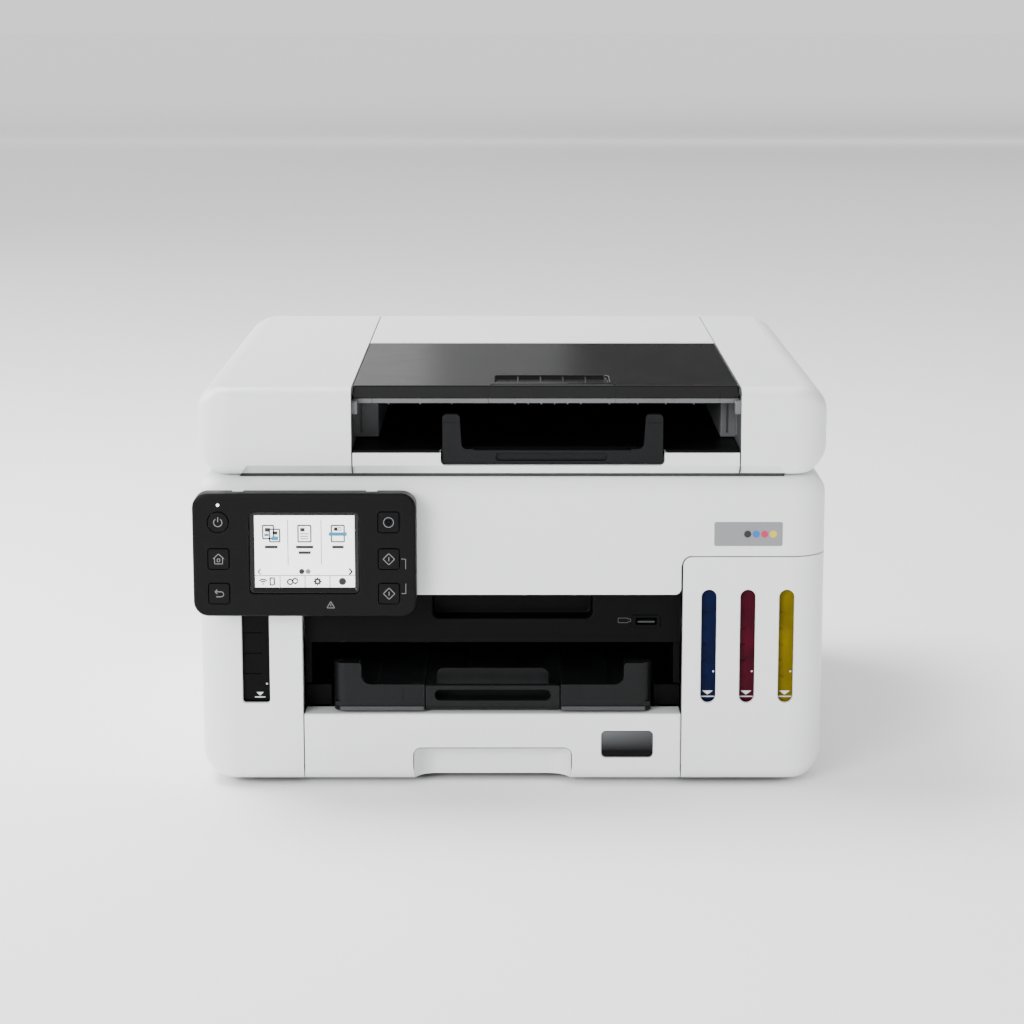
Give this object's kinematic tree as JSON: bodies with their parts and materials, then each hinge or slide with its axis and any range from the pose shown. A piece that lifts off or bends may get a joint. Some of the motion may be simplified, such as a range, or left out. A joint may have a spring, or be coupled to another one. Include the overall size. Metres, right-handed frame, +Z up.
{
  "type": "inkjet printer",
  "caption": "Desktop multifunction inkjet printer with refillable tanks, a paper cassette, a flatbed scanner with a document feeder and a tilting touch panel.",
  "frame": {"origin": "centre of the bounding box, on the surface that the feet stand on", "axes": "+Z up, -Y towards the user, +X to the right of a user facing the printer"},
  "size_m": [0.4, 0.423, 0.259],
  "materials": {
    "white_shell": "satin off-white moulded plastic",
    "black_plastic": "fine matt black moulded plastic",
    "grey_plastic": "dark grey moulded plastic",
    "smoked_plastic": "glossy smoked plastic",
    "steel": "zinc-plated sheet and rod",
    "rubber": "black rubber",
    "glass": "clear float glass",
    "screen": "lit display under a clear cover",
    "circuit_board": "green solder-masked board with metal sockets",
    "foam": "white foam-backed sheet",
    "ink_black": "clear tank full of black ink",
    "ink_cyan": "clear tank full of cyan ink",
    "ink_magenta": "clear tank full of magenta ink",
    "ink_yellow": "clear tank full of yellow ink"
  },
  "bodies": {
    "chassis": {"left_cover": "white_shell", "right_cover": "white_shell", "base_plate": "black_plastic", "left_frame": "steel", "right_frame": "steel", "front_fascia": "black_plastic", "print_platen": "black_plastic", "guide_rod": "steel", "carriage_belt": "rubber", "carriage_motor": "steel", "ink_tank_black": "ink_black", "ink_tank_cyan": "ink_cyan", "ink_tank_magenta": "ink_magenta", "ink_tank_yellow": "ink_yellow", "main_board": "circuit_board", "power_supply": "grey_plastic", "foot_front_left": "rubber", "foot_front_right": "rubber", "foot_rear_left": "rubber", "foot_rear_right": "rubber", "rear_cover": "black_plastic"},
    "scanner_unit": {"scanner_housing": "white_shell", "platen_glass": "glass"},
    "scan_bar": {"scan_bar": "black_plastic"},
    "control_panel": {"panel_housing": "black_plastic", "touch_screen": "screen"},
    "power_button": {"power_button": "black_plastic"},
    "home_button": {"home_button": "black_plastic"},
    "back_button": {"back_button": "black_plastic"},
    "stop_button": {"stop_button": "black_plastic"},
    "mono_start_button": {"mono_start_button": "black_plastic"},
    "colour_start_button": {"colour_start_button": "black_plastic"},
    "lid": {"lid_left_cover": "white_shell", "lid_right_cover": "white_shell", "lid_base": "white_shell", "document_pad": "foam", "document_floor": "black_plastic", "document_guide": "black_plastic"},
    "document_roller": {"document_roller": "rubber"},
    "feeder_cover": {"feeder_cover": "white_shell"},
    "document_tray": {"document_tray": "smoked_plastic"},
    "document_stopper": {"document_stopper": "grey_plastic"},
    "cassette": {"cassette_front": "white_shell", "cassette_bin": "grey_plastic", "cassette_window": "smoked_plastic"},
    "paper_guide_right": {"paper_guide_right": "grey_plastic"},
    "paper_guide_left": {"paper_guide_left": "grey_plastic"},
    "paper_guide_rear": {"paper_guide_rear": "grey_plastic"},
    "output_tray": {"output_tray": "grey_plastic"},
    "output_extension": {"output_extension": "grey_plastic"},
    "print_carriage": {"print_carriage": "black_plastic"},
    "feed_roller": {"feed_roller": "rubber"},
    "eject_roller": {"eject_roller": "rubber"},
    "pickup_arm": {"pickup_arm": "grey_plastic"},
    "pickup_roller": {"pickup_roller": "rubber"},
    "tank_cap_black": {"tank_cap_black": "grey_plastic"},
    "tank_cap_cyan": {"tank_cap_cyan": "grey_plastic"},
    "tank_cap_magenta": {"tank_cap_magenta": "grey_plastic"},
    "tank_cap_yellow": {"tank_cap_yellow": "grey_plastic"},
    "maintenance_cartridge": {"maintenance_cartridge": "grey_plastic"}
  },
  "joints": [
    {"name": "scanner_unit_hinge", "type": "hinge", "parent": "chassis", "child": "scanner_unit", "pos_m": [0, 0.2075, 0.1554], "axis": [-1, 0, 0], "range_deg": [0, 35]},
    {"name": "scan_bar_slide", "type": "slide", "parent": "scanner_unit", "child": "scan_bar", "axis": [0, -1, 0], "range_m": [0, 0.3]},
    {"name": "control_panel_tilt", "type": "hinge", "parent": "scanner_unit", "child": "control_panel", "pos_m": [-0.13, -0.1995, 0.19], "axis": [-1, 0, 0], "range_deg": [0, 60]},
    {"name": "power_press", "type": "slide", "parent": "control_panel", "child": "power_button", "axis": [0, 1, 0], "range_m": [0, 0.0006], "stiffness_N_per_m": 900, "springref_m": -0.0005},
    {"name": "home_press", "type": "slide", "parent": "control_panel", "child": "home_button", "axis": [0, 1, 0], "range_m": [0, 0.0006], "stiffness_N_per_m": 900, "springref_m": -0.0005},
    {"name": "back_press", "type": "slide", "parent": "control_panel", "child": "back_button", "axis": [0, 1, 0], "range_m": [0, 0.0006], "stiffness_N_per_m": 900, "springref_m": -0.0005},
    {"name": "stop_press", "type": "slide", "parent": "control_panel", "child": "stop_button", "axis": [0, 1, 0], "range_m": [0, 0.0006], "stiffness_N_per_m": 900, "springref_m": -0.0005},
    {"name": "mono_start_press", "type": "slide", "parent": "control_panel", "child": "mono_start_button", "axis": [0, 1, 0], "range_m": [0, 0.0006], "stiffness_N_per_m": 900, "springref_m": -0.0005},
    {"name": "colour_start_press", "type": "slide", "parent": "control_panel", "child": "colour_start_button", "axis": [0, 1, 0], "range_m": [0, 0.0006], "stiffness_N_per_m": 900, "springref_m": -0.0005},
    {"name": "lid_hinge", "type": "hinge", "parent": "scanner_unit", "child": "lid", "pos_m": [0, 0.2035, 0.213], "axis": [-1, 0, 0], "range_deg": [0, 75]},
    {"name": "document_roller_spin", "type": "hinge", "parent": "lid", "child": "document_roller", "pos_m": [0.0253, 0.0705, 0.246], "axis": [1, 0, 0], "continuous": true},
    {"name": "feeder_cover_hinge", "type": "hinge", "parent": "lid", "child": "feeder_cover", "pos_m": [0.0253, 0.206, 0.2535], "axis": [-1, 0, 0], "range_deg": [0, 60]},
    {"name": "document_tray_hinge", "type": "hinge", "parent": "lid", "child": "document_tray", "pos_m": [0.0253, 0.0345, 0.2565], "axis": [-1, 0, 0], "range_deg": [0, 100]},
    {"name": "document_stopper_slide", "type": "slide", "parent": "lid", "child": "document_stopper", "axis": [0, -1, 0], "range_m": [0, 0.06]},
    {"name": "cassette_slide", "type": "slide", "parent": "chassis", "child": "cassette", "axis": [0, -1, 0], "range_m": [0, 0.31]},
    {"name": "paper_guide_right_slide", "type": "slide", "parent": "cassette", "child": "paper_guide_right", "axis": [-1, 0, 0], "range_m": [0, 0.055]},
    {"name": "paper_guide_left_slide", "type": "slide", "parent": "cassette", "child": "paper_guide_left", "axis": [1, 0, 0], "range_m": [0, 0.055]},
    {"name": "paper_guide_rear_slide", "type": "slide", "parent": "cassette", "child": "paper_guide_rear", "axis": [0, -1, 0], "range_m": [0, 0.1]},
    {"name": "output_tray_slide", "type": "slide", "parent": "chassis", "child": "output_tray", "axis": [0, -1, 0], "range_m": [0, 0.11]},
    {"name": "output_extension_slide", "type": "slide", "parent": "output_tray", "child": "output_extension", "axis": [0, -1, 0], "range_m": [0, 0.08]},
    {"name": "print_carriage_slide", "type": "slide", "parent": "chassis", "child": "print_carriage", "axis": [-1, 0, 0], "range_m": [0, 0.268]},
    {"name": "feed_roller_spin", "type": "hinge", "parent": "chassis", "child": "feed_roller", "pos_m": [-0.0125, 0.0585, 0.08], "axis": [1, 0, 0], "continuous": true},
    {"name": "eject_roller_spin", "type": "hinge", "parent": "chassis", "child": "eject_roller", "pos_m": [-0.0125, -0.0195, 0.077], "axis": [1, 0, 0], "continuous": true},
    {"name": "pickup_arm_swing", "type": "hinge", "parent": "chassis", "child": "pickup_arm", "pos_m": [-0.0125, 0.0705, 0.066], "axis": [-1, 0, 0], "range_deg": [0, 40]},
    {"name": "pickup_roller_spin", "type": "hinge", "parent": "pickup_arm", "child": "pickup_roller", "pos_m": [-0.0125, 0.1065, 0.064], "axis": [1, 0, 0], "continuous": true},
    {"name": "tank_cap_black_hinge", "type": "hinge", "parent": "chassis", "child": "tank_cap_black", "pos_m": [-0.1634, -0.1085, 0.1365], "axis": [-1, 0, 0], "range_deg": [0, 95]},
    {"name": "tank_cap_cyan_hinge", "type": "hinge", "parent": "chassis", "child": "tank_cap_cyan", "pos_m": [0.1253, -0.1085, 0.1365], "axis": [-1, 0, 0], "range_deg": [0, 95]},
    {"name": "tank_cap_magenta_hinge", "type": "hinge", "parent": "chassis", "child": "tank_cap_magenta", "pos_m": [0.15, -0.1085, 0.1365], "axis": [-1, 0, 0], "range_deg": [0, 95]},
    {"name": "tank_cap_yellow_hinge", "type": "hinge", "parent": "chassis", "child": "tank_cap_yellow", "pos_m": [0.1747, -0.1085, 0.1365], "axis": [-1, 0, 0], "range_deg": [0, 95]},
    {"name": "maintenance_cartridge_slide", "type": "slide", "parent": "chassis", "child": "maintenance_cartridge", "axis": [0, 1, 0], "range_m": [0, 0.09]}
  ],
  "couplings": [
    {"joint": "paper_guide_left_slide", "follows": "paper_guide_right_slide", "ratio": 1},
    {"joint": "eject_roller_spin", "follows": "feed_roller_spin", "ratio": 1.5556}
  ]
}
